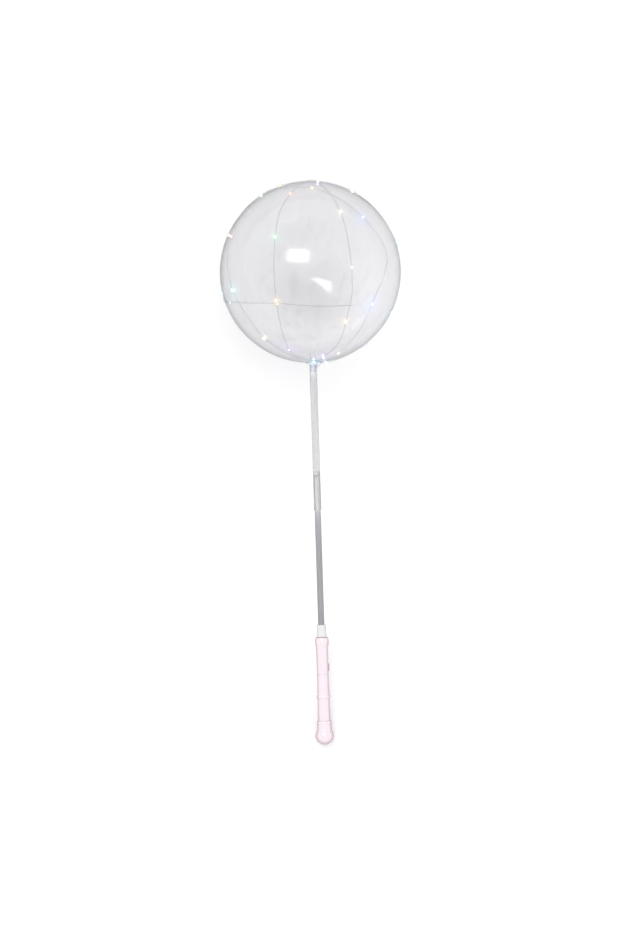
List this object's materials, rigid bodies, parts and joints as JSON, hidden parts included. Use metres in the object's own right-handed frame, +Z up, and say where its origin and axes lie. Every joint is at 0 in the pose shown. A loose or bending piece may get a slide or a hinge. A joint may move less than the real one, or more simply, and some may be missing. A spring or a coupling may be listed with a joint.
{
  "type": "clear bubble balloon on a lit wand",
  "caption": "Clear film ball on a push-together clear stick with a pink battery handle, wound with a string of coloured lights, lying on its side.",
  "frame": {"origin": "on the floor, under the middle of the whole part's box", "axes": "+Y along the stick towards the balloon, seen from above; +Z up; +X to the right with the balloon at the top; the wand's front faces up"},
  "size_m": [0.3336, 1.028, 0.3301],
  "materials": {
    "clear_film": "clear blown film",
    "white_plastic": "glossy white",
    "clear_tube": "clear, slightly grey",
    "grey_rubber": "soft grey",
    "pink_plastic": "glossy pale pink",
    "button_plastic": "darker rose",
    "silver_wire": "thin lacquered wire",
    "lamp_warm": "clear resin drop, lit",
    "lamp_amber": "clear resin drop, lit",
    "lamp_red": "clear resin drop, lit",
    "lamp_green": "clear resin drop, lit",
    "lamp_cyan": "clear resin drop, lit",
    "lamp_blue": "clear resin drop, lit",
    "lamp_violet": "clear resin drop, lit"
  },
  "bodies": {
    "wand": {"balloon": "clear_film", "balloon_cup": "white_plastic", "upper_tube": "clear_tube", "tube_stop": "grey_rubber", "lower_tube": "clear_tube", "handle_collar": "white_plastic", "handle_grip": "pink_plastic", "battery_barrel": "pink_plastic", "end_cap": "pink_plastic", "light_string": "silver_wire", "led_bead_01_violet": "lamp_violet", "led_bead_02_amber": "lamp_amber", "led_bead_03_warm": "lamp_warm", "led_bead_04_warm": "lamp_warm", "led_bead_05_violet": "lamp_violet", "led_bead_06_red": "lamp_red", "led_bead_07_green": "lamp_green", "led_bead_08_amber": "lamp_amber", "led_bead_09_violet": "lamp_violet", "led_bead_10_cyan": "lamp_cyan", "led_bead_11_warm": "lamp_warm", "led_bead_12_cyan": "lamp_cyan", "led_bead_13_red": "lamp_red", "led_bead_14_green": "lamp_green", "led_bead_15_amber": "lamp_amber", "led_bead_16_blue": "lamp_blue", "led_bead_17_warm": "lamp_warm", "led_bead_18_blue": "lamp_blue", "led_bead_19_warm": "lamp_warm", "led_bead_20_blue": "lamp_blue", "led_bead_21_violet": "lamp_violet", "led_bead_22_cyan": "lamp_cyan", "led_bead_23_cyan": "lamp_cyan", "led_bead_24_warm": "lamp_warm", "led_bead_25_amber": "lamp_amber", "led_bead_26_green": "lamp_green", "led_bead_27_cyan": "lamp_cyan", "led_bead_28_cyan": "lamp_cyan", "led_bead_29_amber": "lamp_amber"},
    "button": {"push_button": "button_plastic"}
  },
  "joints": [
    {"name": "button_press", "type": "slide", "parent": "wand", "child": "button", "axis": [-1, 0, 0], "range_m": [0, 0.0012], "stiffness_N_per_m": 500}
  ]
}
